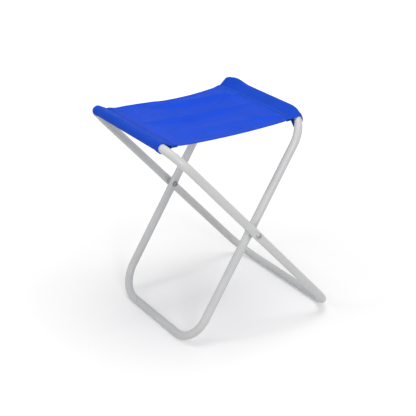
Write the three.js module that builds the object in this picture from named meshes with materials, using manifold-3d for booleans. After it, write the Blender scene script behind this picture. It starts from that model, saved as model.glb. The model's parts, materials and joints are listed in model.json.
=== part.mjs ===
// Folding camp stool: two bent-tube frames crossed on two rivets, with a cloth seat slung between
// their top rails. Millimetres, +Z up. The origin is on the floor under the middle of the stool.
// X runs across the fold, from one seat rail to the other, and Y runs along the rails.

import * as THREE from "three";
import { mergeVertices } from "three/addons/utils/BufferGeometryUtils.js";
import Module from "manifold-3d";

const wasm = await Module();
wasm.setup();

// ---- Driving dimensions ----

const TUBE_DIAMETER = 16;
const TUBE_WALL = 1;
const BEND_RADIUS = 56; // of the tube's centre line, at all eight corners

// Each frame is a rounded rectangle of tube. Its legs reach from the pivot up to the seat rail and
// down to the foot rail. The outer frame is wider and longer, so the inner one folds flat inside it.
const OUTER_WIDTH = 318; // between the centre lines of its two legs
const OUTER_LEG_ABOVE = 262; // from the pivot to the centre line of the seat rail
const OUTER_LEG_BELOW = 276; // from the pivot to the centre line of the foot rail
const OUTER_LEAN = THREE.MathUtils.degToRad(42.2); // from upright, with the stool open

const INNER_WIDTH = 275;
const INNER_LEG_ABOVE = 234;
const INNER_LEAN = THREE.MathUtils.degToRad(31.963); // its legs below the pivot reach the same floor

const CRUSH_DEPTH = 1; // how far each side of a leg is pressed flat where the rivet passes
const CRUSH_LENGTH = 22;
const CRUSH_RUNOUT = 9; // from flat back to round, at each end

const RIVET_DIAMETER = 6;
const RIVET_HEAD_DIAMETER = 11.5;
const RIVET_HEAD_HEIGHT = 2.4;
const RIVET_TAIL_DIAMETER = 9.5;
const RIVET_TAIL_HEIGHT = 2;
const SPACER_DIAMETER = 14;
const WASHER_DIAMETER = 13;
const WASHER_THICKNESS = 1.2;

const PLUG_LENGTH = 70; // joins the two ends of a bent tube, inside the seat rail
const TUBE_END_GAP = 0.6; // between the two ends of the tube

const CLOTH_WIDTH = 240; // along the rails
const CLOTH_THICKNESS = 1.6;
const SLEEVE_SLACK = 0.4; // between a seat rail and the sleeve round it
const SEAT_SAG = 8; // of the middle of the seat below its ends
const SEAT_LEAVES_AT = THREE.MathUtils.degToRad(20); // round each sleeve, up from the inward side

const TOUCH_GAP = 0.3; // between pieces that bear on each other
const HOLE_CLEARANCE = 0.3; // round a rivet, all the way
const SEAT_CLEARANCE = 0.4; // between the seat and the sleeves it is sewn to

const TUBE_SIDES = 16;
const BEND_STEPS = 8; // for each corner
const ROUND_SIDES = 24; // of rivets, washers, spacers and plugs
const SEAT_STEPS = 10; // each way across the seat

// ---- Values that follow ----

const tubeRadius = TUBE_DIAMETER / 2;
const boreRadius = tubeRadius - TUBE_WALL;
const crushedHalf = tubeRadius - CRUSH_DEPTH; // half the thickness of a leg at the rivet
const pivotHeight = tubeRadius + OUTER_LEG_BELOW * Math.cos(OUTER_LEAN);
const innerLegBelow = (pivotHeight - tubeRadius) / Math.cos(INNER_LEAN);
const sleeveInner = tubeRadius + SLEEVE_SLACK;
const sleeveOuter = sleeveInner + CLOTH_THICKNESS;
const outerSeatReach = OUTER_LEG_ABOVE * Math.sin(OUTER_LEAN) + sleeveOuter;
const outerFootReach = OUTER_LEG_BELOW * Math.sin(OUTER_LEAN) + tubeRadius;
const pivotX = (outerSeatReach - outerFootReach) / 2; // puts the stool's middle at the origin

// ---- Materials ----

const material = (color, roughness, metalness) =>
  new THREE.MeshStandardMaterial({ color, roughness, metalness });
const paintedTube = () => material(0xc9cbcd, 0.45, 0.1);
const plainSteel = () => material(0x9b9da0, 0.35, 0.9);
const greyPlastic = () => material(0xa6a7a8, 0.6, 0);
const blueCloth = () => material(0x2654d7, 0.85, 0);

function piece(name, geometry, finish) {
  const mesh = new THREE.Mesh(geometry, finish);
  mesh.name = name;
  return mesh;
}

// ---- Solids that are cut ----

function toSolid(geometry) {
  const bare = geometry.clone();
  bare.deleteAttribute("normal");
  bare.deleteAttribute("uv");
  const merged = mergeVertices(bare);
  return new wasm.Manifold(
    new wasm.Mesh({
      numProp: 3,
      vertProperties: new Float32Array(merged.attributes.position.array),
      triVerts: new Uint32Array(merged.index.array),
    }),
  );
}

function toGeometry(solid) {
  const mesh = solid.getMesh();
  const geometry = new THREE.BufferGeometry();
  geometry.setAttribute("position", new THREE.BufferAttribute(mesh.vertProperties, 3));
  geometry.setIndex(new THREE.BufferAttribute(mesh.triVerts, 1));
  geometry.computeVertexNormals();
  return geometry;
}

// ---- Paths ----

// A path through chosen stations, each a point and the direction of travel there, so that a bend
// gets many stations and a straight gets few.
class StationPath extends THREE.Curve {
  constructor(stations) {
    super();
    this.stations = stations;
  }

  station(u) {
    return this.stations[Math.round(u * (this.stations.length - 1))];
  }

  getPointAt(u, target = new THREE.Vector3()) {
    return target.copy(this.station(u).point);
  }

  getTangentAt(u, target = new THREE.Vector3()) {
    return target.copy(this.station(u).heading);
  }
}

// A frame lies in its own YZ plane with the pivot at the origin, and the bend's centre is at the
// given corner. The angle is measured from +Z, and it grows as the path goes on round the frame.
function bendStation(centreY, centreZ, angle) {
  return {
    point: new THREE.Vector3(
      0,
      centreY + BEND_RADIUS * Math.sin(angle),
      centreZ + BEND_RADIUS * Math.cos(angle),
    ),
    heading: new THREE.Vector3(0, Math.cos(angle), -Math.sin(angle)),
  };
}

function bend(centreY, centreZ, from, to = from + Math.PI / 2) {
  const steps = Math.max(2, Math.round((BEND_STEPS * (to - from)) / (Math.PI / 2)));
  const stations = [];
  for (let i = 0; i <= steps; i++) {
    stations.push(bendStation(centreY, centreZ, from + ((to - from) * i) / steps));
  }
  return stations;
}

// The stations down (or up) one leg where it is pressed flat for the rivet.
function crush(y, direction) {
  const flat = CRUSH_LENGTH / 2;
  const round = flat + CRUSH_RUNOUT;
  return [-round, -flat, flat, round].map((along) => ({
    point: new THREE.Vector3(0, y, direction * along),
    heading: new THREE.Vector3(0, 0, direction),
  }));
}

function frameLoop(width, above, below) {
  const y = width / 2 - BEND_RADIUS;
  const top = above - BEND_RADIUS;
  const bottom = BEND_RADIUS - below;
  const along = new THREE.Vector3(0, 1, 0);
  const end = TUBE_END_GAP / 2;
  return new StationPath([
    { point: new THREE.Vector3(0, end, above), heading: along },
    ...bend(y, top, 0),
    ...crush(width / 2, -1),
    ...bend(y, bottom, Math.PI / 2),
    ...bend(-y, bottom, Math.PI),
    ...crush(-width / 2, 1),
    ...bend(-y, top, Math.PI * 1.5),
    { point: new THREE.Vector3(0, -end, above), heading: along },
  ]);
}

// The angle that a seat rail has turned down by, at a distance along it from the middle.
function railTurn(width, y) {
  const past = Math.max(0, Math.abs(y) - (width / 2 - BEND_RADIUS));
  return Math.asin(Math.min(1, past / BEND_RADIUS)) * Math.sign(y);
}

// The length of seat rail inside the sleeve, with as much of each corner as the cloth covers.
function sleevePath(width, above) {
  const turn = railTurn(width, CLOTH_WIDTH / 2);
  const y = width / 2 - BEND_RADIUS;
  return new StationPath([
    ...bend(-y, above - BEND_RADIUS, -turn, 0),
    ...bend(y, above - BEND_RADIUS, 0, turn),
  ]);
}

// ---- Sections ----

// A many-sided ring whose flats lie at the two radii, turned so that one flat faces the given way.
function ringSection(outer, inner, facing) {
  const step = (Math.PI * 2) / TUBE_SIDES;
  const ring = (radius) => {
    const points = [];
    for (let i = 0; i < TUBE_SIDES; i++) {
      const angle = facing + step * (i + 0.5);
      const reach = radius / Math.cos(step / 2);
      points.push(new THREE.Vector2(reach * Math.cos(angle), reach * Math.sin(angle)));
    }
    return points;
  };
  const section = new THREE.Shape(ring(outer));
  section.holes.push(new THREE.Path(ring(inner)));
  return section;
}

function sweep(section, path) {
  const steps = path.stations.length - 1;
  return new THREE.ExtrudeGeometry(section, { steps, extrudePath: path });
}

// ---- Frame pieces ----

// Presses the sides of both legs flat round the pivot, keeping the wall's thickness.
function pressLegs(geometry, width) {
  const position = geometry.attributes.position;
  const reach = CRUSH_LENGTH / 2 + CRUSH_RUNOUT / 2;
  const mid = (tubeRadius + boreRadius) / 2;
  for (let i = 0; i < position.count; i++) {
    if (Math.abs(position.getZ(i)) > reach) continue;
    const leg = (Math.sign(position.getY(i)) * width) / 2;
    const off = position.getY(i) - leg;
    const isOutside = Math.hypot(off, position.getX(i)) > mid;
    const limit = isOutside ? crushedHalf : crushedHalf - TUBE_WALL;
    position.setY(i, leg + THREE.MathUtils.clamp(off, -limit, limit));
  }
}

function rivetHole(width) {
  const drill = new THREE.CylinderGeometry(
    RIVET_DIAMETER / 2 + HOLE_CLEARANCE,
    RIVET_DIAMETER / 2 + HOLE_CLEARANCE,
    width + TUBE_DIAMETER * 2,
    ROUND_SIDES,
  );
  return toSolid(drill);
}

function frameTube(width, above, below, floorWay) {
  const section = ringSection(tubeRadius, boreRadius, floorWay);
  const bent = sweep(section, frameLoop(width, above, below));
  pressLegs(bent, width);
  return toGeometry(toSolid(bent).subtract(rivetHole(width)));
}

function plug(above) {
  const radius = boreRadius - TOUCH_GAP;
  const geometry = new THREE.CylinderGeometry(radius, radius, PLUG_LENGTH, ROUND_SIDES);
  return geometry.translate(0, 0, above);
}

function sleeve(width, above, facing) {
  return sweep(ringSection(sleeveOuter, sleeveInner, facing), sleevePath(width, above));
}

// One frame with its plug and its sleeve, standing in the world at its lean. In the tube's section
// the first axis points into the frame, so the floor lies at half a turn from it, less the lean.
function frame(name, width, above, below, lean) {
  const group = new THREE.Group();
  const floorWay = Math.PI + lean;
  group.add(piece(`${name}_frame_tube`, frameTube(width, above, below, floorWay), paintedTube()));
  group.add(piece(`${name}_joining_plug`, plug(above), greyPlastic()));
  group.add(piece(`${name}_sleeve`, sleeve(width, above, floorWay), blueCloth()));
  group.position.set(pivotX, 0, pivotHeight);
  group.rotation.y = lean;
  return group;
}

// ---- Pivots ----

const outboardFace = OUTER_WIDTH / 2 + crushedHalf;
const spacerOutboard = OUTER_WIDTH / 2 - crushedHalf - TOUCH_GAP;
const spacerInboard = INNER_WIDTH / 2 + crushedHalf + TOUCH_GAP;
const washerOutboard = INNER_WIDTH / 2 - crushedHalf - TOUCH_GAP;
const washerInboard = washerOutboard - WASHER_THICKNESS;
const headSeat = outboardFace + TOUCH_GAP;
const tailSeat = washerInboard - TOUCH_GAP;

// A turned piece whose axis is the pivot: the profile's second value is its distance out from the
// stool's middle plane.
function turned(profile) {
  return new THREE.LatheGeometry(
    profile.map(([radius, out]) => new THREE.Vector2(radius, out)),
    ROUND_SIDES,
  );
}

function ringPiece(radius, inboard, outboard) {
  const hole = RIVET_DIAMETER / 2 + HOLE_CLEARANCE;
  return turned([
    [hole, inboard],
    [radius, inboard],
    [radius, outboard],
    [hole, outboard],
    [hole, inboard],
  ]);
}

// The factory head lies outside the outer leg, and the tail is closed on the washer.
function rivet() {
  const domeStart = Math.PI / 10; // the rim of a head stands up a little before it rounds over
  const domeSteps = 5;
  const dome = (radius, seat, height) => {
    const points = [[radius, seat]];
    for (let i = 0; i <= domeSteps; i++) {
      const angle = domeStart + ((Math.PI / 2 - domeStart) * i) / domeSteps;
      points.push([i === domeSteps ? 0 : radius * Math.cos(angle), seat + height * Math.sin(angle)]);
    }
    return points;
  };
  return turned([
    ...dome(RIVET_TAIL_DIAMETER / 2, tailSeat, -RIVET_TAIL_HEIGHT).reverse(),
    [RIVET_DIAMETER / 2, tailSeat],
    [RIVET_DIAMETER / 2, headSeat],
    ...dome(RIVET_HEAD_DIAMETER / 2, headSeat, RIVET_HEAD_HEIGHT),
  ]);
}

// The two pivots are alike, one turned half round from the other.
function pivot(name, turn) {
  const group = new THREE.Group();
  const spacer = ringPiece(SPACER_DIAMETER / 2, spacerInboard, spacerOutboard);
  const washer = ringPiece(WASHER_DIAMETER / 2, washerInboard, washerOutboard);
  group.add(piece(`${name}_rivet`, rivet(), plainSteel()));
  group.add(piece(`${name}_spacer`, spacer, greyPlastic()));
  group.add(piece(`${name}_washer`, washer, plainSteel()));
  group.position.set(pivotX, 0, pivotHeight);
  group.rotation.z = turn;
  return group;
}

// ---- Seat ----

// Where a seat rail's centre line is at a distance along it, in the world's X and Z.
function railAt(width, above, lean, y) {
  const drop = BEND_RADIUS * (1 - Math.cos(railTurn(width, y)));
  const reach = above - drop;
  return new THREE.Vector2(pivotX + reach * Math.sin(lean), pivotHeight + reach * Math.cos(lean));
}

// Where the seat leaves a sleeve at a distance along its rail, at an angle above the horizontal.
// Round a corner the sleeve is seen aslant, so it stands out further there.
function seatEnd(width, above, lean, y, angle) {
  const slant = Math.cos(Math.PI / 2 + Math.abs(lean) - angle) * Math.sin(railTurn(width, y));
  const outside = sleeveOuter / Math.cos(Math.PI / TUBE_SIDES);
  const reach = outside / Math.sqrt(1 - slant * slant) + SEAT_CLEARANCE;
  const inward = -Math.sign(lean);
  const out = new THREE.Vector2(inward * Math.cos(angle), Math.sin(angle));
  return railAt(width, above, lean, y).addScaledVector(out, reach);
}

const outerEnd = (y, angle) => seatEnd(OUTER_WIDTH, OUTER_LEG_ABOVE, -OUTER_LEAN, y, angle);
const innerEnd = (y, angle) => seatEnd(INNER_WIDTH, INNER_LEG_ABOVE, INNER_LEAN, y, angle);

// The seat between the two sleeves: a sagging strip that ends against the sleeves, with edges that
// sink with the rails where these turn down at the corners.
function seatPanel() {
  const upper = SEAT_LEAVES_AT;
  const lower = upper - CLOTH_THICKNESS / sleeveOuter;
  const left = outerEnd(0, upper);
  const right = innerEnd(0, upper);
  const sagging = (from, to) => {
    const control = from.clone().lerp(to, 0.5);
    return [control.x, control.y - 2 * SEAT_SAG, to.x, to.y];
  };

  const outline = new THREE.Shape();
  outline.moveTo(outerEnd(0, lower).x, outerEnd(0, lower).y);
  outline.quadraticCurveTo(...sagging(outerEnd(0, lower), innerEnd(0, lower)));
  outline.lineTo(right.x, right.y);
  outline.quadraticCurveTo(...sagging(right, left));

  const strip = new THREE.ExtrudeGeometry(outline, {
    depth: CLOTH_WIDTH,
    steps: SEAT_STEPS,
    bevelEnabled: false,
    curveSegments: SEAT_STEPS,
  });
  // The outline is drawn in X and height, so it is stood up, and its depth then runs along -Y.
  strip.rotateX(Math.PI / 2);
  strip.translate(0, CLOTH_WIDTH / 2, 0);
  const position = strip.attributes.position;
  for (let i = 0; i < position.count; i++) {
    const y = position.getY(i);
    const across = THREE.MathUtils.inverseLerp(left.x, right.x, position.getX(i));
    const leftShift = outerEnd(y, upper).sub(left);
    const rightShift = innerEnd(y, upper).sub(right);
    const shift = leftShift.lerp(rightShift, THREE.MathUtils.clamp(across, 0, 1));
    position.setX(i, position.getX(i) + shift.x);
    position.setZ(i, position.getZ(i) + shift.y);
  }
  return strip;
}

// ---- Assembly ----

const stool = new THREE.Group();
stool.add(frame("outer", OUTER_WIDTH, OUTER_LEG_ABOVE, OUTER_LEG_BELOW, -OUTER_LEAN));
stool.add(frame("inner", INNER_WIDTH, INNER_LEG_ABOVE, innerLegBelow, INNER_LEAN));
stool.add(pivot("near", Math.PI));
stool.add(pivot("far", 0));
stool.add(piece("seat_panel", seatPanel(), blueCloth()));

export default stool;
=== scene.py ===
# %% [markdown]
# # A folding camp stool
# Two frames of bent steel tube cross on two rivets, and one sewn cloth hangs between their top
# rails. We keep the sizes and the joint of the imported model, and build a finer surface round it:
# smooth tubes, turned rivets, and a cloth that wraps, sags, creases and is stitched.

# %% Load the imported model
import json
import math

import bpy
import numpy as np
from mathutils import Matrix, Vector, noise


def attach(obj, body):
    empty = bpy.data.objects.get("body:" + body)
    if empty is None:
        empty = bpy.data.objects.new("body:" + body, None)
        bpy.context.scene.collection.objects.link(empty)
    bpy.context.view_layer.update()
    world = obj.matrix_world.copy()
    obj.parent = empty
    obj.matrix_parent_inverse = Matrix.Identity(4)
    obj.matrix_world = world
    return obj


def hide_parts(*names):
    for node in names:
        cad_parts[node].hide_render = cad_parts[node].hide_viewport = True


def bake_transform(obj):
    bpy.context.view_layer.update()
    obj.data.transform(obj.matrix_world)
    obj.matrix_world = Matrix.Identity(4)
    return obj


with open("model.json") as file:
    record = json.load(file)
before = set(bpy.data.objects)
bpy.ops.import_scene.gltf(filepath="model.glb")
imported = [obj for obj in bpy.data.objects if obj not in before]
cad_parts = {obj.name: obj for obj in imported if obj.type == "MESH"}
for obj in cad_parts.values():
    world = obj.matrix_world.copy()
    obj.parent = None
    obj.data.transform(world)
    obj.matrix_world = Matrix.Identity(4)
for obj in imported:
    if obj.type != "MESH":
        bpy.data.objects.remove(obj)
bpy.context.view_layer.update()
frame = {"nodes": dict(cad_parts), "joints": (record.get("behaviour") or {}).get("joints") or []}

# %% [markdown]
# ## Sizes
# Every size is in metres. The pivot's place is read from the model's joint, so the tubes and the
# cloth stay tied to it. Each frame is described in its own plane, with the pivot at the origin,
# and then leans over by its own angle.

# %% Sizes of the frames
TUBE_RADIUS = 0.008
TUBE_WALL = 0.001
BEND_RADIUS = 0.056
CRUSH_DEPTH = 0.001  # how far each side of a leg is pressed in at the rivet
CRUSH_HALF = 0.011  # half the length of the pressed part
CRUSH_RUNOUT = 0.009  # the length over which the leg turns round again
QUARTER_TURN = math.pi / 2
HALF_TURN = math.pi
FULL_TURN = 2 * math.pi

OUTER = {
    "name": "outer",
    "width": 0.318,
    "above": 0.262,
    "below": 0.276,
    "lean": math.radians(-42.2),
    "puff": 0.0,
}
INNER_LEAN = math.radians(31.963)
INNER = {
    "name": "inner",
    "width": 0.275,
    "above": 0.234,
    "below": OUTER["below"] * math.cos(OUTER["lean"]) / math.cos(INNER_LEAN),
    "lean": INNER_LEAN,
    "puff": 1.0,  # how far the cloth's pocket stands open at its far end
}
pivot = Vector(frame["joints"][0]["pos_m"])
print("pivot at", [round(v, 4) for v in pivot])

# %% [markdown]
# ## Camera
# A long lens from above one corner keeps the two frames nearly parallel. The camera is placed by
# the angles it looks from, so the view can be changed without working out a position by hand.

# %% Camera
VIEW_AZIMUTH = math.radians(-32.7)
VIEW_ELEVATION = math.radians(23.9)
VIEW_DISTANCE = 2.139
VIEW_LENS = 95.0
look_at = Vector((-0.0064, 0.0025, 0.2069))


def aim_camera():
    back = Vector((
        math.sin(VIEW_AZIMUTH) * math.cos(VIEW_ELEVATION),
        -math.cos(VIEW_AZIMUTH) * math.cos(VIEW_ELEVATION),
        math.sin(VIEW_ELEVATION),
    ))
    data = bpy.data.cameras.new("camera")
    data.lens = VIEW_LENS
    data.sensor_width = 36.0
    camera = bpy.data.objects.new("camera", data)
    bpy.context.scene.collection.objects.link(camera)
    camera.location = look_at + back * VIEW_DISTANCE
    camera.rotation_euler = (-back).to_track_quat("-Z", "Y").to_euler()
    bpy.context.scene.camera = camera
    return camera


camera = aim_camera()
print("camera at", [round(v, 3) for v in camera.location])

# %% [markdown]
# ## Small helpers
# A mesh is made from plain lists of points and faces. Everything that lies on a grid, such as a
# tube, a turned part or the cloth, uses the same helper, which joins row to row with four-sided
# faces and can close the grid on itself in either direction.


# %% Mesh helpers
def new_piece(name, points, faces, material):
    mesh = bpy.data.meshes.new(name)
    mesh.from_pydata([tuple(p) for p in points], [], faces)
    mesh.validate()
    mesh.polygons.foreach_set("use_smooth", [True] * len(mesh.polygons))
    mesh.materials.append(material)
    piece = bpy.data.objects.new(name, mesh)
    bpy.context.scene.collection.objects.link(piece)
    return piece


def grid_faces(rows, columns, close_rows=False, close_columns=False, first=0):
    faces = []
    for r in range(rows if close_rows else rows - 1):
        for c in range(columns if close_columns else columns - 1):
            r2 = (r + 1) % rows
            c2 = (c + 1) % columns
            corners = (r * columns + c, r * columns + c2, r2 * columns + c2, r2 * columns + c)
            faces.append(tuple(first + k for k in corners))
    return faces


def smooth(t):
    t = min(1.0, max(0.0, t))
    return t * t * (3 - 2 * t)


# %% [markdown]
# ## Shared effects
# Two effects are used by more than one finish, so each is a node group with named sockets. Fine
# grain gives the slight orange peel of powder coat and the grain of moulded nylon. Handling wear
# gives a patchy mask for dirt and rub marks, strongest low down, near the floor.


# %% Node helpers
def new_group(name, inputs, outputs):
    group = bpy.data.node_groups.new(name, "ShaderNodeTree")
    for label, kind, value in inputs:
        socket = group.interface.new_socket(label, in_out="INPUT", socket_type=kind)
        if value is not None:
            socket.default_value = value
    for label, kind in outputs:
        group.interface.new_socket(label, in_out="OUTPUT", socket_type=kind)
    return group, group.nodes.new("NodeGroupInput"), group.nodes.new("NodeGroupOutput")


def math_node(tree, operation, *values):
    node = tree.nodes.new("ShaderNodeMath")
    node.operation = operation
    for socket, value in zip(node.inputs, values):
        if isinstance(value, (int, float)):
            socket.default_value = value
        else:
            tree.links.new(value, socket)
    return node.outputs[0]


def map_range(tree, value, low, high, to_low=0.0, to_high=1.0):
    node = tree.nodes.new("ShaderNodeMapRange")
    tree.links.new(value, node.inputs["Value"])
    limits = {"From Min": low, "From Max": high, "To Min": to_low, "To Max": to_high}
    for label, number in limits.items():
        node.inputs[label].default_value = number
    return node.outputs["Result"]


def mix_colours(tree, factor, first, second):
    node = tree.nodes.new("ShaderNodeMix")
    node.data_type = "RGBA"
    tree.links.new(factor, node.inputs["Factor"])
    for socket, value in ((node.inputs["A"], first), (node.inputs["B"], second)):
        if isinstance(value, tuple):
            socket.default_value = value
        else:
            tree.links.new(value, socket)
    return node.outputs["Result"]


def noise_node(tree, vector, scale, detail=3.0):
    node = tree.nodes.new("ShaderNodeTexNoise")
    node.inputs["Scale"].default_value = scale
    node.inputs["Detail"].default_value = detail
    tree.links.new(vector, node.inputs["Vector"])
    return node.outputs["Fac"]


# %% Fine grain
def build_fine_grain():
    group, given, result = new_group(
        "fine_grain",
        [("Vector", "NodeSocketVector", None), ("Scale", "NodeSocketFloat", 900.0)],
        [("Height", "NodeSocketFloat"), ("Patches", "NodeSocketFloat")],
    )
    fine = group.nodes.new("ShaderNodeTexNoise")
    fine.inputs["Detail"].default_value = 2.0
    group.links.new(given.outputs["Vector"], fine.inputs["Vector"])
    group.links.new(given.outputs["Scale"], fine.inputs["Scale"])
    group.links.new(fine.outputs["Fac"], result.inputs["Height"])
    group.links.new(noise_node(group, given.outputs["Vector"], 35.0), result.inputs["Patches"])
    return group


fine_grain = build_fine_grain()
print("group:", fine_grain.name)


# %% Handling wear
WEAR_ELSEWHERE = 0.12  # the share of the wear that is left high above the floor


def build_handling_wear():
    group, given, result = new_group(
        "handling_wear",
        [
            ("Vector", "NodeSocketVector", None),
            ("Floor Height", "NodeSocketFloat", 0.03),
            ("Amount", "NodeSocketFloat", 0.5),
        ],
        [("Mask", "NodeSocketFloat")],
    )
    split = group.nodes.new("ShaderNodeSeparateXYZ")
    group.links.new(given.outputs["Vector"], split.inputs[0])
    height = math_node(group, "DIVIDE", split.outputs["Z"], given.outputs["Floor Height"])
    near_floor = math_node(group, "SUBTRACT", 1.0, height)
    near_floor = math_node(group, "MAXIMUM", near_floor, WEAR_ELSEWHERE)
    spots = map_range(group, noise_node(group, given.outputs["Vector"], 140.0, 5.0), 0.54, 0.7)
    mask = math_node(group, "MULTIPLY", spots, near_floor)
    mask = math_node(group, "MULTIPLY", mask, given.outputs["Amount"])
    group.links.new(mask, result.inputs["Mask"])
    return group


handling_wear = build_handling_wear()
print("group:", handling_wear.name)

# %% [markdown]
# ## Finishes
# Each finish is a Principled shader of its own. Values that are the same all over are typed into
# the shader's sockets, and only what varies is linked: colour, roughness and the bump.


# %% Material helpers
def new_material(name, roughness, metallic=0.0):
    material = bpy.data.materials.new(name)
    material.use_nodes = True
    shader = material.node_tree.nodes["Principled BSDF"]
    shader.inputs["Roughness"].default_value = roughness
    shader.inputs["Metallic"].default_value = metallic
    return material, material.node_tree, shader


def place_group(tree, group, vector, **values):
    node = tree.nodes.new("ShaderNodeGroup")
    node.node_tree = group
    tree.links.new(vector, node.inputs["Vector"])
    for label, number in values.items():
        node.inputs[label.replace("_", " ")].default_value = number
    return node


def object_coordinates(tree):
    return tree.nodes.new("ShaderNodeTexCoord").outputs["Object"]


def add_bump(tree, shader, height, distance, strength=1.0):
    bump = tree.nodes.new("ShaderNodeBump")
    bump.inputs["Distance"].default_value = distance
    bump.inputs["Strength"].default_value = strength
    tree.links.new(height, bump.inputs["Height"])
    tree.links.new(bump.outputs["Normal"], shader.inputs["Normal"])


# %% [markdown]
# ### Powder coat
# The tubes have a light-grey powder coat: satin, with a faint orange peel. The colour drifts a
# little along the tube, and the coat is scuffed darker in spots where it meets the floor.


# %% Powder coat
def powder_coat():
    material, tree, shader = new_material("powder_coat", 0.32)
    where = object_coordinates(tree)
    grain = place_group(tree, fine_grain, where, Scale=1500.0)
    wear = place_group(tree, handling_wear, where, Floor_Height=0.012, Amount=0.25)
    darker = (0.565, 0.57, 0.57, 1)
    lighter = (0.625, 0.63, 0.63, 1)
    clean = mix_colours(tree, grain.outputs["Patches"], darker, lighter)
    colour = mix_colours(tree, wear.outputs["Mask"], clean, (0.30, 0.29, 0.28, 1))
    tree.links.new(colour, shader.inputs["Base Color"])
    gloss = map_range(tree, grain.outputs["Patches"], 0.3, 0.7, 0.27, 0.38)
    tree.links.new(gloss, shader.inputs["Roughness"])
    add_bump(tree, shader, grain.outputs["Height"], 0.00003, 0.2)
    return material


# %% [markdown]
# ### Plated steel and nylon
# Rivets and washers are zinc plated. Plating is metal with a fine crystal grain, and handling
# dulls it in patches. The spacers and the hidden joining plugs are moulded grey nylon.


# %% Plated steel and nylon
def plated_steel():
    material, tree, shader = new_material("plated_steel", 0.34, 1.0)
    where = object_coordinates(tree)
    grain = place_group(tree, fine_grain, where, Scale=2600.0)
    wear = place_group(tree, handling_wear, where, Amount=4.0)
    darker = (0.30, 0.31, 0.32, 1)
    lighter = (0.44, 0.44, 0.45, 1)
    clean = mix_colours(tree, grain.outputs["Patches"], darker, lighter)
    colour = mix_colours(tree, wear.outputs["Mask"], clean, (0.26, 0.25, 0.24, 1))
    tree.links.new(colour, shader.inputs["Base Color"])
    gloss = map_range(tree, grain.outputs["Height"], 0.3, 0.7, 0.26, 0.46)
    tree.links.new(gloss, shader.inputs["Roughness"])
    add_bump(tree, shader, grain.outputs["Height"], 0.00003, 0.4)
    return material


def moulded_nylon():
    material, tree, shader = new_material("moulded_nylon", 0.55)
    where = object_coordinates(tree)
    grain = place_group(tree, fine_grain, where, Scale=1900.0)
    darker = (0.36, 0.365, 0.37, 1)
    lighter = (0.40, 0.405, 0.41, 1)
    colour = mix_colours(tree, grain.outputs["Patches"], darker, lighter)
    tree.links.new(colour, shader.inputs["Base Color"])
    add_bump(tree, shader, grain.outputs["Height"], 0.00005, 0.5)
    return material


# %% [markdown]
# ### Woven cloth
# The seat is a coated polyester in plain weave. The weave is worked out from the cloth's own
# coordinates, in metres, so it follows the cloth round the rails and through the fold. Threads
# go over and under by turns, like the squares of a chess board: in one square the warp shows, in
# the next the weft. The same height shades the colour a little and drives the bump. Over the
# pockets and flaps the colour is a painted shade deeper, standing in for the light that passes
# through one layer of cloth but less through two. The inside has the waterproof coating: darker
# and smoother, with the weave only just showing through.

# %% Weave group
THREAD_PITCH = 0.0009


def build_plain_weave():
    group, given, result = new_group(
        "plain_weave",
        [("Vector", "NodeSocketVector", None), ("Pitch", "NodeSocketFloat", THREAD_PITCH)],
        [("Height", "NodeSocketFloat")],
    )
    split = group.nodes.new("ShaderNodeSeparateXYZ")
    group.links.new(given.outputs["Vector"], split.inputs[0])
    squares = []
    threads = []
    for axis in ("X", "Y"):
        count = math_node(group, "DIVIDE", split.outputs[axis], given.outputs["Pitch"])
        squares.append(math_node(group, "FLOOR", count))
        across = math_node(group, "MULTIPLY", math_node(group, "FRACT", count), math.pi)
        threads.append(math_node(group, "SINE", across))
    turn = math_node(group, "MODULO", math_node(group, "ADD", *squares), 2.0)
    turn = math_node(group, "ABSOLUTE", turn)
    heights = []
    for over, along in (threads, threads[::-1]):
        hump = math_node(group, "ADD", math_node(group, "MULTIPLY", along, 0.45), 0.55)
        heights.append(math_node(group, "MULTIPLY", over, hump))
    first = math_node(group, "MULTIPLY", heights[0], turn)
    second = math_node(group, "MULTIPLY", heights[1], math_node(group, "SUBTRACT", 1.0, turn))
    group.links.new(math_node(group, "ADD", first, second), result.inputs["Height"])
    return group


plain_weave = build_plain_weave()
print("group:", plain_weave.name)


# %% Both sides of the cloth
CLOTH_UV = "cloth"


def weave_on_cloth(tree):
    """The cloth's flat coordinates, and the height of the weave there."""
    uv = tree.nodes.new("ShaderNodeUVMap")
    uv.uv_map = CLOTH_UV
    weave = place_group(tree, plain_weave, uv.outputs["UV"], Pitch=THREAD_PITCH)
    return uv.outputs["UV"], weave.outputs["Height"]


def painted_shade_mask(tree, flat, length, doubled_from):
    """Where shade is painted: 0 on the single cloth, 1 near both ends of its length, where it is
    doubled.
    """
    split = tree.nodes.new("ShaderNodeSeparateXYZ")
    tree.links.new(flat, split.inputs[0])
    off_centre = math_node(tree, "SUBTRACT", split.outputs["X"], length / 2)
    off_centre = math_node(tree, "ABSOLUTE", off_centre)
    return map_range(tree, off_centre, doubled_from - 0.002, doubled_from + 0.003)


def woven_cloth(length, doubled_from):
    material, tree, shader = new_material("woven_cloth", 0.72)
    shader.inputs["Sheen Weight"].default_value = 0.02
    shader.inputs["Sheen Roughness"].default_value = 0.5
    shader.inputs["Specular IOR Level"].default_value = 0.10
    flat, height = weave_on_cloth(tree)
    drift = noise_node(tree, flat, 26.0, 4.0)
    single = mix_colours(tree, drift, (0.008, 0.070, 0.64, 1), (0.014, 0.094, 0.83, 1))
    # Painted shade: a deeper blue for the pockets and flaps, for the light that two layers hold
    # back.
    painted_shade_colour = mix_colours(tree, drift, (0.003, 0.061, 0.54, 1), (0.007, 0.083, 0.70, 1))
    doubled = painted_shade_mask(tree, flat, length, doubled_from)
    dye_and_painted_shade = mix_colours(tree, doubled, single, painted_shade_colour)
    gaps = map_range(tree, height, 0.15, 0.8, 0.35, 0.0)
    colour = mix_colours(tree, gaps, dye_and_painted_shade, (0.010, 0.045, 0.36, 1))
    tree.links.new(colour, shader.inputs["Base Color"])
    gloss = map_range(tree, height, 0.2, 0.9, 0.82, 0.62)
    tree.links.new(gloss, shader.inputs["Roughness"])
    add_bump(tree, shader, height, 0.00018, 0.6)
    return material


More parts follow.
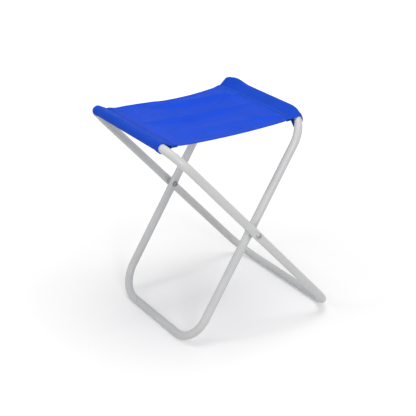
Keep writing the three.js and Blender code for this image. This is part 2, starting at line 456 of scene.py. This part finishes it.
def coated_back():
    material, tree, shader = new_material("coated_back", 0.5)
    shader.inputs["Specular IOR Level"].default_value = 0.25
    flat, height = weave_on_cloth(tree)
    drift = noise_node(tree, flat, 40.0, 4.0)
    colour = mix_colours(tree, drift, (0.007, 0.032, 0.25, 1), (0.011, 0.045, 0.33, 1))
    tree.links.new(colour, shader.inputs["Base Color"])
    gloss = map_range(tree, drift, 0.35, 0.65, 0.42, 0.58)
    tree.links.new(gloss, shader.inputs["Roughness"])
    add_bump(tree, shader, height, 0.0001, 0.4)
    return material


# %% [markdown]
# ### Sewing thread
# The thread is twisted polyester, a little lighter than the cloth in places. It is so thin that
# its twist shows only as grain, so the fine grain that the other finishes use is enough.


# %% Sewing thread
def sewing_thread():
    material, tree, shader = new_material("sewing_thread", 0.5)
    where = object_coordinates(tree)
    grain = place_group(tree, fine_grain, where, Scale=3200.0)
    darker = (0.010, 0.05, 0.45, 1)
    lighter = (0.03, 0.13, 0.82, 1)
    colour = mix_colours(tree, grain.outputs["Height"], darker, lighter)
    tree.links.new(colour, shader.inputs["Base Color"])
    add_bump(tree, shader, grain.outputs["Height"], 0.0001, 0.5)
    return material


# %% Make the finishes
coat = powder_coat()
steel = plated_steel()
nylon = moulded_nylon()
back_finish = coated_back()
thread_finish = sewing_thread()
print("finishes:", [m.name for m in (coat, steel, nylon, back_finish, thread_finish)])

# %% [markdown]
# ## The two tubes
# A real frame is one straight tube, bent at four corners until its ends meet in the middle of the
# seat rail. A bevelled curve would give the bends, but not the legs pressed flat for the rivets,
# so we sweep a ring along the centre line ourselves: many rings in a bend, few on a straight.
# Near the rivet each ring is squeezed flat, and bulges a little the other way, as steel does.

# %% The centre line
BEND_STEPS = 20
LEG_STEPS = 14
RING_SIDES = 40
END_GAP = 0.0003  # from the middle of the seat rail to each end of the tube


def in_world(spec, x, y, z):
    c = math.cos(spec["lean"])
    s = math.sin(spec["lean"])
    return Vector((pivot.x + x * c + z * s, pivot.y + y, pivot.z - x * s + z * c))


def bend_stations(y, z, start):
    stations = []
    for i in range(BEND_STEPS + 1):
        angle = start + QUARTER_TURN * i / BEND_STEPS
        out = BEND_RADIUS * math.sin(angle)
        up = BEND_RADIUS * math.cos(angle)
        stations.append((y + out, z + up, angle))
    return stations


def leg_stations(y, heading):
    reach = CRUSH_HALF + CRUSH_RUNOUT
    way = 1 if y < 0 else -1
    return [(y, way * reach * (2 * i / LEG_STEPS - 1), heading) for i in range(LEG_STEPS + 1)]


def centre_line(spec):
    """Stations (y, z, heading) all the way round; the heading is the angle turned from +Y."""
    y = spec["width"] / 2 - BEND_RADIUS
    top = spec["above"] - BEND_RADIUS
    low = BEND_RADIUS - spec["below"]
    return [
        (END_GAP, spec["above"], 0.0),
        *bend_stations(y, top, 0.0),
        *leg_stations(spec["width"] / 2, QUARTER_TURN),
        *bend_stations(y, low, QUARTER_TURN),
        *bend_stations(-y, low, HALF_TURN),
        *leg_stations(-spec["width"] / 2, 3 * QUARTER_TURN),
        *bend_stations(-y, top, 3 * QUARTER_TURN),
        (-END_GAP, spec["above"], FULL_TURN),
    ]


# %% Sweep a tube
CRUSH_BULGE = 0.06  # how much wider the tube gets the other way, where it is pressed
ON_LINE = 1e-6  # how near to the leg's line counts as on it


def pressed(z):
    """How much a leg is pressed beside the pivot: 1 at the rivet, and 0 where it is round."""
    if abs(z) >= CRUSH_HALF + CRUSH_RUNOUT:
        return 0.0
    return 1 - smooth((abs(z) - CRUSH_HALF) / CRUSH_RUNOUT)


def tube_ring(spec, station, radius):
    y, z, heading = station
    ring = []
    on_leg = abs(abs(y) - spec["width"] / 2) < ON_LINE
    share = pressed(z) if on_leg else 0.0
    limit = radius - CRUSH_DEPTH * share
    for k in range(RING_SIDES):
        angle = FULL_TURN * k / RING_SIDES
        outward = radius * math.cos(angle)
        sideways = radius * math.sin(angle) * (1 + CRUSH_BULGE * share)
        outward = max(-limit, min(limit, outward))
        # Out of the frame is across the heading: up on the seat rail, and +Y on the first leg.
        across = (y + outward * math.sin(heading), z + outward * math.cos(heading))
        ring.append(in_world(spec, sideways, *across))
    return ring


def tube(spec):
    stations = centre_line(spec)
    count = len(stations)
    points = []
    for radius in (TUBE_RADIUS, TUBE_RADIUS - TUBE_WALL):
        for station in stations:
            points += tube_ring(spec, station, radius)
    faces = grid_faces(count, RING_SIDES, close_columns=True)
    bore = grid_faces(count, RING_SIDES, close_columns=True, first=count * RING_SIDES)
    faces = [face[::-1] for face in faces] + bore
    for ring in (0, count - 1):
        for k in range(RING_SIDES):
            k2 = (k + 1) % RING_SIDES
            outer_start = ring * RING_SIDES
            bore_start = (count + ring) * RING_SIDES
            rim = (outer_start + k, outer_start + k2, bore_start + k2, bore_start + k)
            faces.append(rim if ring == 0 else rim[::-1])
    piece = new_piece(f"{spec['name']}_tube", points, faces, coat)
    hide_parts(f"{spec['name']}_frame_tube")
    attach(piece, f"{spec['name']}_frame")
    print(piece.name, "rings:", count)
    return piece


for spec in (OUTER, INNER):
    tube(spec)

# %% [markdown]
# ## Rivets, washers and spacers
# These are turned parts, so each is one profile swung round the pivot's axis. The profile is a
# short list of radius and distance along the axis, and small arcs round off its corners. The two
# pivots are alike, and the near one faces the other way.

# %% Turned parts
TURN_SIDES = 48
GAP = 0.0003  # between neighbours
WASHER_THICKNESS = 0.0012
crushed = TUBE_RADIUS - CRUSH_DEPTH
head_seat = OUTER["width"] / 2 + crushed + GAP
spacer_out = OUTER["width"] / 2 - crushed - GAP
spacer_in = INNER["width"] / 2 + crushed + GAP
washer_out = INNER["width"] / 2 - crushed - GAP
washer_in = washer_out - WASHER_THICKNESS
tail_seat = washer_in - GAP


def arc(radius_at, out_at, radius, start, end, steps=6):
    """Points round a small arc in the profile, centred at a radius and a distance out."""
    angles = [start + (end - start) * i / steps for i in range(steps + 1)]
    return [(radius_at + radius * math.cos(a), out_at + radius * math.sin(a)) for a in angles]


def turned(name, profile, side, material, closed):
    points = []
    for radius, out in profile:
        for k in range(TURN_SIDES):
            angle = FULL_TURN * k / TURN_SIDES
            points.append((
                pivot.x + radius * math.cos(angle),
                pivot.y + side * out,
                pivot.z + radius * math.sin(angle),
            ))
    faces = grid_faces(len(profile), TURN_SIDES, close_rows=closed, close_columns=True)
    if not closed:
        last = (len(profile) - 1) * TURN_SIDES
        faces.append(tuple(range(TURN_SIDES))[::-1])
        faces.append(tuple(range(last, last + TURN_SIDES)))
    if side > 0:
        faces = [face[::-1] for face in faces]
    return new_piece(name, points, faces, material)


# %% Profiles of the rivet and the rings
RIVET_RADIUS = 0.003
HEAD_RADIUS = 0.00575
HEAD_HEIGHT = 0.0024
HEAD_RIM = 0.0005
DOME_STEPS = 8
TAIL_RADIUS = 0.00475
TAIL_HEIGHT = 0.002
TAIL_ROUND = 0.0012
BORE_RADIUS = 0.0023  # the rivets are hollow at both ends
BORE_DEPTH = 0.005
BORE_CONE = 0.0003  # the bore ends in a cone this high, round a flat of the same radius
BORE_LIP = 0.0008
BORE_MOUTH = BORE_RADIUS + BORE_LIP
HOLE_RADIUS = RIVET_RADIUS + GAP
RING_EDGE = 0.0003


def rivet_tail():
    end = tail_seat - TAIL_HEIGHT
    return [
        (BORE_CONE, end + BORE_DEPTH),
        (BORE_RADIUS, end + BORE_DEPTH - BORE_CONE),
        *arc(BORE_MOUTH, end + BORE_LIP, BORE_LIP, HALF_TURN, 3 * QUARTER_TURN, 4),
        *arc(TAIL_RADIUS - TAIL_ROUND, end + TAIL_ROUND, TAIL_ROUND, -QUARTER_TURN, 0),
        (RIVET_RADIUS, tail_seat),
    ]


def rivet_head():
    end = head_seat + HEAD_HEIGHT
    dome = []
    for i in range(DOME_STEPS + 1):
        angle = QUARTER_TURN * i / DOME_STEPS
        radius = BORE_MOUTH + (HEAD_RADIUS - BORE_MOUTH) * math.cos(angle)
        out = head_seat + HEAD_RIM + (HEAD_HEIGHT - HEAD_RIM) * math.sin(angle)
        dome.append((radius, out))
    return [
        (RIVET_RADIUS, head_seat),
        *arc(HEAD_RADIUS - HEAD_RIM, head_seat + HEAD_RIM, HEAD_RIM, -QUARTER_TURN, 0, 4)[:-1],
        *dome,
        *arc(BORE_MOUTH, end - BORE_LIP, BORE_LIP, QUARTER_TURN, HALF_TURN, 4)[1:],
        (BORE_RADIUS, end - BORE_DEPTH + BORE_CONE),
        (BORE_CONE, end - BORE_DEPTH),
    ]


def ring_profile(radius, inboard, outboard):
    round_from = radius - RING_EDGE
    return [
        (HOLE_RADIUS, inboard),
        *arc(round_from, inboard + RING_EDGE, RING_EDGE, -QUARTER_TURN, 0, 3),
        *arc(round_from, outboard - RING_EDGE, RING_EDGE, 0, QUARTER_TURN, 3),
        (HOLE_RADIUS, outboard),
    ]


print("points in the rivet's profile:", len(rivet_tail() + rivet_head()))


# %% Make both pivots
SPACER_RADIUS = 0.007
WASHER_RADIUS = 0.0065


def turned_pivot(name, side):
    spacer = ring_profile(SPACER_RADIUS, spacer_in, spacer_out)
    washer = ring_profile(WASHER_RADIUS, washer_in, washer_out)
    parts = [
        ("rivet", rivet_tail() + rivet_head(), steel, "rivet_steel", False),
        ("spacer", spacer, nylon, "grey_plastic", True),
        ("washer", washer, steel, "rivet_steel", True),
    ]
    for part, profile, material, slot, closed in parts:
        piece = turned(f"{name}_pivot_{part}", profile, side, material, closed)
        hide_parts(f"{name}_{part}")
        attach(piece, "outer_frame")
    print(name, "pivot:", [part[0] for part in parts])


turned_pivot("near", -1)
turned_pivot("far", 1)

# %% [markdown]
# ## Joining plugs
# Inside each seat rail a nylon plug joins the two ends of the tube. The model's own plugs have
# the right shape, so they stay, and only take the nylon finish.

# %% Joining plugs
for name in ("outer_joining_plug", "inner_joining_plug"):
    plug = frame["nodes"][name]
    plug.data.materials.clear()
    plug.data.materials.append(nylon)
print("plugs take the nylon finish")

# %% [markdown]
# ## The cloth, flat on paper
# The seat is one strip. Each end goes over its rail, round the outside, back underneath, and is
# sewn to the seat along a line a little way in, which leaves a short flap under the seat. We
# describe that as a line in the stool's side view, for any place along the rails. Where a rail
# turns down at its corner, it is cut aslant by the side view, so the pocket follows an ellipse.
# The seam is pulled tight, so it stays nearly level there, and the pocket opens up below it. The
# inner pocket is also puffed up at its far end.

# %% Sizes of the cloth
CLOTH_WIDTH = 0.240
CLOTH_THICKNESS = 0.0009
POCKET_RADIUS = TUBE_RADIUS + 0.0003
SEAM = np.array([0.0210, -0.0022])  # the stitch line: how far inward of the rail's centre, and up
SEAM_FOLLOW = 0.25  # the share of the rail's turn down that the seam follows
PUFF_LIFT = 0.0085
PUFF_FROM = 0.050  # where along the rail the pocket starts to stand open
FLAP = 0.011
FLAP_DROP = 0.0006
LAYER_GAP = 0.00015  # half the room between the two layers at the seam
SEAT_SAG = 0.0045
EDGE_PULL = 0.035  # how far the free edges are drawn in at mid-seat, as a share of their place
FLAP_RIDGE = 0.0014  # the flap underneath lifts the seat a little beside the seam
FLAP_RIDGE_RISE = 0.004
FLAP_RIDGE_FALL = 0.005
BEARINGS = 720  # directions tried, to find where the straight parts touch the pocket's curve
ARC_STEPS = 20
WEB_STEPS = 6
FLAP_STEPS = 4
SEAT_COLUMNS = 84


def rail_at(spec, y):
    """The rail's centre in the side view, and how far the rail has turned down there."""
    past = max(0.0, abs(y) - (spec["width"] / 2 - BEND_RADIUS))
    turn = math.asin(min(1.0, past / BEND_RADIUS))
    here = in_world(spec, 0.0, 0.0, spec["above"] - BEND_RADIUS * (1 - math.cos(turn)))
    return np.array([here.x, here.z]), turn


# %% The pocket round a rail
def pocket(spec, y):
    """Points in the side view from the flap's end, round the rail, to the seam on top."""
    centre, turn = rail_at(spec, y)
    inward = 1.0 if spec["lean"] < 0 else -1.0
    leg = QUARTER_TURN + abs(spec["lean"])  # the leg's direction, as an angle up from inward
    puff = spec["puff"] * smooth((y - PUFF_FROM) / (CLOTH_WIDTH / 2 - PUFF_FROM))
    facing = np.array([inward, 1])
    seam = SEAM + (1 - SEAM_FOLLOW) * (rail_at(spec, 0.0)[0] - centre) * facing

    def outside(angle):
        slant = math.cos(angle - leg) * math.sin(turn)
        radius = POCKET_RADIUS / math.sqrt(1 - slant * slant)
        stretch = 1 + puff * PUFF_LIFT / POCKET_RADIUS if math.sin(angle) > 0 else 1
        return radius * np.array([math.cos(angle), math.sin(angle) * stretch])

    around = [FULL_TURN * i / BEARINGS for i in range(BEARINGS)]
    bearings = []
    for angle in around:
        away = outside(angle) - seam
        bearings.append(math.atan2(away[1], -away[0]))
    start = around[bearings.index(max(bearings))]
    end = around[bearings.index(min(bearings))]
    # The wrap runs from the lower touching point, round the outside, back to the upper one.
    line = []
    lower_seam = seam - np.array([0, LAYER_GAP])
    upper_seam = seam + np.array([0, LAYER_GAP])
    flap_end = lower_seam + np.array([FLAP, -FLAP_DROP])
    for i in range(FLAP_STEPS):
        line.append(flap_end + (lower_seam - flap_end) * i / FLAP_STEPS)
    for i in range(WEB_STEPS):
        line.append(lower_seam + (outside(end) - lower_seam) * i / WEB_STEPS)
    for i in range(ARC_STEPS):
        line.append(outside(end + (start - end) * i / ARC_STEPS))
    for i in range(WEB_STEPS + 1):
        line.append(outside(start) + (upper_seam - outside(start)) * i / WEB_STEPS)
    return [centre + point * facing for point in line]


POCKET_POINTS = FLAP_STEPS + 2 * WEB_STEPS + ARC_STEPS + 1
print("points round a pocket:", POCKET_POINTS, "found", len(pocket(OUTER, 0.0)))

# %% [markdown]
# ## Creases
# A cloth that is pulled between two rails isn't flat. It has long folds along the pull, which run
# from rail to rail, and little puckers where the seams gather it. Each fold here is a soft ridge
# along a line across the seat, given by points on its crest, its height and its half width. The
# cloth simulation then relaxes them under gravity, so that they look pulled and not drawn.

# %% Creases
# Each ridge: points (x, y) along its crest from left to right, its height, and its half width.
RIDGES = [
    ([(-0.150, 0.028), (-0.072, -0.003), (0.038, -0.006), (0.102, -0.003)], 0.0086, 0.0080),
    ([(-0.100, 0.113), (-0.025, 0.074), (0.039, 0.065), (0.110, 0.042)], 0.0086, 0.009),
    ([(-0.155, 0.108), (-0.090, 0.118), (-0.030, 0.112)], 0.0040, 0.012),
    ([(-0.145, -0.055), (-0.030, -0.068), (0.080, -0.075)], 0.0034, 0.013),
    ([(0.000, 0.028), (0.055, 0.050), (0.110, 0.082)], 0.0032, 0.008),
    ([(0.020, -0.048), (0.060, -0.082), (0.096, -0.108)], 0.0040, 0.009),
]
RIDGE_FADE = 0.3  # the share of its length over which a ridge rises at each end
PUCKER_LENGTH = 0.012
PUCKER_HEIGHT = 0.0005
PUCKER_RISE = 0.004
LONG_WAVES = 95
SHORT_WAVES = 230


def ridge_height(x, y):
    height = 0.0
    for crest, peak, half in RIDGES:
        places = [point[0] for point in crest]
        share = (x - places[0]) / (places[-1] - places[0])
        fade = smooth(share / RIDGE_FADE) * smooth((1 - share) / RIDGE_FADE)
        off = y - np.interp(x, places, [point[1] for point in crest])
        height += peak * fade * math.exp(-((off / half) ** 2))
    return height


def pucker(distance, y):
    long_wave = noise.noise(Vector((y * LONG_WAVES, 3.1, 7.7)))
    wave = long_wave + 0.5 * noise.noise(Vector((y * SHORT_WAVES, 1.7, 2.3)))
    near_seam = math.exp(-distance / PUCKER_LENGTH)
    return PUCKER_HEIGHT * wave * near_seam * smooth(distance / PUCKER_RISE)


print("ridges:", len(RIDGES))

# %% [markdown]
# ## The cloth as a grid
# Each row runs from flap to flap, and the rows stand side by side along the rails. They are close
# together at the two free edges, where the cloth is folded over and hemmed, and 4 mm apart
# elsewhere. The flat coordinates of each point, in metres, are its UV map, for the weave. The
# middle row also gives the length that the cloth is cut to, and where its doubled ends begin.

# %% Rows of the grid
HEM_WIDTH = 0.0085
HEM_CLEAR = 0.0115  # the first single row's distance from the edge
SINGLE_ROWS = 55
half_width = CLOTH_WIDTH / 2
hem_rows = [half_width, half_width - 0.0006, half_width - 0.003, half_width - 0.0055,
            half_width - HEM_WIDTH + 0.0008, half_width - HEM_WIDTH]
reach = half_width - HEM_CLEAR
single_rows = np.linspace(-reach, reach, SINGLE_ROWS)
rows = [-y for y in hem_rows] + list(single_rows) + hem_rows[::-1]
print("rows:", len(rows), "columns:", 2 * POCKET_POINTS + SEAT_COLUMNS - 1)


# %% Seat between the seams
def seat_line(y, left, right):
    """Points in 3-D from just after the left seam to just before the right one."""
    line = []
    for i in range(1, SEAT_COLUMNS):
        t = i / SEAT_COLUMNS
        x, z = left + (right - left) * t
        bow = 4 * t * (1 - t)
        distance = (right[0] - left[0]) * min(t, 1 - t)
        z -= SEAT_SAG * bow
        z += ridge_height(x, y) + pucker(distance, y + t)
        over_flap = 1 - smooth((distance - FLAP) / FLAP_RIDGE_FALL)
        z += FLAP_RIDGE * smooth(distance / FLAP_RIDGE_RISE) * over_flap
        pulled = y * (1 - EDGE_PULL * bow * abs(y) / half_width)
        line.append((x, pulled, z))
    return line


def cloth_grid():
    grid = []
    for y in rows:
        left = pocket(OUTER, y)
        right = pocket(INNER, y)[::-1]
        row = [(p[0], y, p[1]) for p in left]
        row += seat_line(y, left[-1], right[0])
        row += [(p[0], y, p[1]) for p in right]
        grid.append(row)
    return np.array(grid)


grid = cloth_grid()
middle = grid[len(rows) // 2]
along = np.concatenate([[0], np.cumsum(np.linalg.norm(np.diff(middle, axis=0), axis=1))])
CUT_LENGTH = float(along[-1])
print("cloth cut:", CLOTH_WIDTH, "by", round(CUT_LENGTH, 4))

# %% Finish of the cloth's outside
DOUBLED_FROM = CUT_LENGTH / 2 - float(along[POCKET_POINTS - 1]) - FLAP
cloth_finish = woven_cloth(CUT_LENGTH, DOUBLED_FROM)
print("doubled from", round(DOUBLED_FROM, 4), "off the middle of the cloth")

# %% [markdown]
# ## Let the cloth settle
# The pockets and flaps are held, and the seat between them is let go under gravity in Blender's
# cloth simulation. It is a little longer and wider than the space it has, which is what makes
# folds run along the pull. The result is taken as the new shape, so no simulation is left on it.

# %% Cloth simulation
SETTLE_FRAMES = 24
CLOTH_GRAVITY = 0.05  # the simulation's smallest mass is too heavy for so fine a grid
first_free = POCKET_POINTS
last_free = POCKET_POINTS + SEAT_COLUMNS - 1


def settle(grid):
    count_rows, count_columns = grid.shape[:2]
    faces = grid_faces(count_rows, count_columns)
    piece = new_piece("cloth_draft", grid.reshape(-1, 3), faces, cloth_finish)
    held = piece.vertex_groups.new(name="held")
    for r in range(count_rows):
        for c in range(count_columns):
            if not first_free <= c < last_free:
                held.add([r * count_columns + c], 1.0, "REPLACE")
    cloth = piece.modifiers.new("settle", "CLOTH")
    settings = cloth.settings
    settings.quality = 10
    settings.mass = 0.01
    settings.tension_stiffness = 60
    settings.compression_stiffness = 60
    settings.shear_stiffness = 20
    settings.bending_stiffness = 0.5
    settings.effector_weights.gravity = CLOTH_GRAVITY
    settings.tension_damping = 20
    settings.compression_damping = 20
    settings.air_damping = 4
    settings.vertex_group_mass = "held"
    settings.shrink_min = -0.0005
    cloth.collision_settings.use_collision = False
    cloth.point_cache.frame_start = 1
    cloth.point_cache.frame_end = SETTLE_FRAMES
    scene = bpy.context.scene
    for number in range(1, SETTLE_FRAMES + 1):
        scene.frame_set(number)
    graph = bpy.context.evaluated_depsgraph_get()
    shape = piece.evaluated_get(graph).to_mesh()
    settled = np.array([v.co for v in shape.vertices]).reshape(grid.shape)
    scene.frame_set(1)
    bpy.data.objects.remove(piece)
    return settled


before = grid.copy()
grid = settle(grid)
print("largest move in mm:", round(float(np.abs(grid - before).max()) * 1000, 2))

# %% [markdown]
# ## Give the cloth its thickness
# The sheet is thickened outwards only, so it never sinks into the rail. A vertex group makes the
# two hems twice as thick as the rest, because the cloth is folded over there.


# %% Thicken the cloth
HEM_MARGIN = 0.0004


def thick_cloth(grid):
    count_rows, count_columns = grid.shape[:2]
    faces = grid_faces(count_rows, count_columns)
    piece = new_piece("seat_cloth", grid.reshape(-1, 3), faces, cloth_finish)
    flat = piece.data.uv_layers.new(name=CLOTH_UV)
    for loop in piece.data.loops:
        r, c = divmod(loop.vertex_index, count_columns)
        flat.data[loop.index].uv = (along[c], rows[r])
    layers = piece.vertex_groups.new(name="layers")
    for r, y in enumerate(rows):
        folded = abs(y) > half_width - HEM_WIDTH + HEM_MARGIN
        for c in range(count_columns):
            layers.add([r * count_columns + c], 1.0 if folded else 0.5, "REPLACE")
    solid = piece.modifiers.new("thickness", "SOLIDIFY")
    solid.thickness = CLOTH_THICKNESS * 2
    solid.offset = 1.0
    solid.vertex_group = "layers"
    solid.use_quality_normals = True
    bpy.context.view_layer.objects.active = piece
    piece.select_set(True)
    bpy.ops.object.modifier_apply(modifier=solid.name)
    # The layer that the thickening added is the inside, which has the coating.
    piece.data.materials.append(back_finish)
    for polygon in piece.data.polygons:
        if min(polygon.vertices) >= count_rows * count_columns:
            polygon.material_index = 1
    return piece


seat_cloth = thick_cloth(grid)
print("cloth faces:", len(seat_cloth.data.polygons))

# %% [markdown]
# ## Stitches
# Two rows of lockstitch hold each pocket, and one row holds each hem. Every stitch is a short
# grain of thread, fatter in its middle, laid along a line on the cloth with a small gap after it.

# %% Stitches along a line
STITCH_LENGTH = 0.0030
STITCH_PITCH = 0.0038
STITCH_RADIUS = 0.00034
STITCH_SIDES = 6
STITCH_RINGS = 5
STITCH_TIP = 0.35  # a stitch's thickness at its ends, as a share of its middle's
STITCH_DIP = 0.8
STITCH_RISE = 0.35


def add_stitch(points, faces, start, end, up):
    way = (end - start).normalized()
    side = way.cross(up).normalized()
    top = side.cross(way)
    first = len(points)
    for i in range(STITCH_RINGS):
        t = i / (STITCH_RINGS - 1)
        fullness = math.sin(HALF_TURN * t)
        radius = STITCH_RADIUS * (STITCH_TIP + (1 - STITCH_TIP) * fullness)
        dip = top * STITCH_RADIUS * (1 - fullness) * STITCH_DIP
        centre = start + (end - start) * t - dip
        for k in range(STITCH_SIDES):
            angle = FULL_TURN * k / STITCH_SIDES
            points.append(centre + (side * math.cos(angle) + top * math.sin(angle)) * radius)
    faces += grid_faces(STITCH_RINGS, STITCH_SIDES, close_columns=True, first=first)
    last = first + (STITCH_RINGS - 1) * STITCH_SIDES
    faces.append(tuple(range(first, first + STITCH_SIDES))[::-1])
    faces.append(tuple(range(last, last + STITCH_SIDES)))


def stitched_line(name, lines):
    """Stitches along each line, which is a list of points on the cloth with the way up there."""
    points = []
    faces = []
    for line in lines:
        places = [Vector(p) for p, _ in line]
        ups = [Vector(u) for _, u in line]
        lengths = [0.0]
        for a, b in zip(places, places[1:]):
            lengths.append(lengths[-1] + (b - a).length)

        def at(distance):
            k = int(np.searchsorted(lengths, distance)) - 1
            k = max(0, min(k, len(places) - 2))
            t = (distance - lengths[k]) / (lengths[k + 1] - lengths[k])
            return places[k].lerp(places[k + 1], t), ups[k].lerp(ups[k + 1], t).normalized()

        count = int((lengths[-1] - STITCH_LENGTH) / STITCH_PITCH)
        for n in range(count + 1):
            begin, up = at(n * STITCH_PITCH)
            end, _ = at(n * STITCH_PITCH + STITCH_LENGTH)
            add_stitch(points, faces, begin, end, up)
    print(name, "stitches:", len(points) // (STITCH_RINGS * STITCH_SIDES))
    return new_piece(name, points, faces, thread_finish)


# %% Where the stitches lie
def on_cloth(r, c, layers):
    """A point on the cloth's outside over a grid point, and the way up there."""
    a = Vector(grid[r][min(c + 1, grid.shape[1] - 1)] - grid[r][max(c - 1, 0)])
    b = Vector(grid[min(r + 1, len(rows) - 1)][c] - grid[max(r - 1, 0)][c])
    up = a.cross(b).normalized()
    height = CLOTH_THICKNESS * layers + STITCH_RADIUS * STITCH_RISE
    return Vector(grid[r][c]) + up * height, up


def column_line(c, layers=1):
    return [on_cloth(r, c, layers) for r in range(2, len(rows) - 2)]


def row_line(r):
    return [on_cloth(r, c, 2) for c in range(first_free + 1, last_free - 1)]


seam_left = POCKET_POINTS - 1
seam_right = POCKET_POINTS + SEAT_COLUMNS - 1
hem_row = 3
outer_lines = [column_line(seam_left), column_line(seam_left + 1)]
inner_lines = [column_line(seam_right), column_line(seam_right - 1)]
hem_lines = [row_line(hem_row), row_line(len(rows) - 1 - hem_row)]
seam_stitches = [
    stitched_line("outer_seam_stitches", outer_lines),
    stitched_line("inner_seam_stitches", inner_lines),
]
hem_stitches = stitched_line("hem_stitches", hem_lines)

# %% [markdown]
# ## The cloth in place
# The cloth and its stitches keep their points where they were built, and the model's own seat and
# sleeves are hidden.

# %% Bake the soft pieces and hide the model's cloth
for piece in (seat_cloth, hem_stitches, *seam_stitches):
    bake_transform(piece)
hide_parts("seat_panel", "outer_sleeve", "inner_sleeve")

# %% [markdown]
# ## Floor and light
# A pale floor shows the soft shadow. It is white to the camera, which we get from a little glow
# that only camera and mirror rays see, and not from stronger lamps, so the stool keeps its own
# colours. The glow is stronger further out, where the lamps no longer reach. From below the
# floor is clear. A large softbox overhead drops the shadow straight under the stool. A second one,
# low in front, rakes across the cloth and shows its creases, and a small one on the left draws
# long highlights on the tubes.

# %% Floor
FLOOR_HALF = 6.0
FLOOR_DROP = 0.0004


def seen_directly(tree):
    """1 for the rays that show a surface as it is: to the camera, in a mirror, or through glass."""
    rays = tree.nodes.new("ShaderNodeLightPath")
    seen = math_node(tree, "MAXIMUM", rays.outputs["Is Camera Ray"], rays.outputs["Is Glossy Ray"])
    return math_node(tree, "MAXIMUM", seen, rays.outputs["Is Transmission Ray"])


def floor_finish():
    material, tree, shader = new_material("floor", 0.65)
    shader.inputs["Base Color"].default_value = (0.80, 0.80, 0.80, 1)
    shader.inputs["Specular IOR Level"].default_value = 0.2
    seen = seen_directly(tree)
    glow = tree.nodes.new("ShaderNodeEmission")
    place = tree.nodes.new("ShaderNodeNewGeometry")
    away = tree.nodes.new("ShaderNodeVectorMath")
    away.operation = "LENGTH"
    tree.links.new(place.outputs["Position"], away.inputs[0])
    strength = map_range(tree, away.outputs["Value"], 0.35, 1.3, 0.27, 0.60)
    tree.links.new(math_node(tree, "MULTIPLY", seen, strength), glow.inputs["Strength"])
    both = tree.nodes.new("ShaderNodeAddShader")
    tree.links.new(shader.outputs[0], both.inputs[0])
    tree.links.new(glow.outputs[0], both.inputs[1])
    clear = tree.nodes.new("ShaderNodeBsdfTransparent")
    from_below = tree.nodes.new("ShaderNodeMixShader")
    tree.links.new(place.outputs["Backfacing"], from_below.inputs[0])
    tree.links.new(both.outputs[0], from_below.inputs[1])
    tree.links.new(clear.outputs[0], from_below.inputs[2])
    tree.links.new(from_below.outputs[0], tree.nodes["Material Output"].inputs["Surface"])
    return material


corners = [(-1, -1), (1, -1), (1, 1), (-1, 1)]
floor_points = [(x * FLOOR_HALF, y * FLOOR_HALF, -FLOOR_DROP) for x, y in corners]
floor = new_piece("floor", floor_points, [(0, 1, 2, 3)], floor_finish())


# %% Room light
def room_light():
    world = bpy.data.worlds.new("room")
    bpy.context.scene.world = world
    world.use_nodes = True
    tree = world.node_tree
    fill = tree.nodes["Background"]
    fill.inputs["Color"].default_value = (1.0, 0.993, 0.982, 1)
    fill.inputs["Strength"].default_value = 0.50
    white = tree.nodes.new("ShaderNodeBackground")
    white.inputs["Color"].default_value = (1, 1, 1, 1)
    white.inputs["Strength"].default_value = 1.0
    mix = tree.nodes.new("ShaderNodeMixShader")
    tree.links.new(seen_directly(tree), mix.inputs[0])
    tree.links.new(fill.outputs[0], mix.inputs[1])
    tree.links.new(white.outputs[0], mix.inputs[2])
    tree.links.new(mix.outputs[0], tree.nodes["World Output"].inputs["Surface"])


room_light()


# %% Softboxes
def softbox(name, place, size, power):
    data = bpy.data.lights.new(name, "AREA")
    data.shape = "SQUARE"
    data.size = size
    data.energy = power
    lamp = bpy.data.objects.new(name, data)
    bpy.context.scene.collection.objects.link(lamp)
    lamp.location = place
    lamp.rotation_euler = (look_at - Vector(place)).to_track_quat("-Z", "Y").to_euler()


softbox("overhead", (0.0, -0.15, 2.6), 1.5, 22)
softbox("front", (-0.7, -2.1, 1.15), 0.6, 15)
softbox("left", (-2.2, 0.3, 1.3), 0.4, 5)
bpy.context.scene.view_settings.view_transform = "Standard"
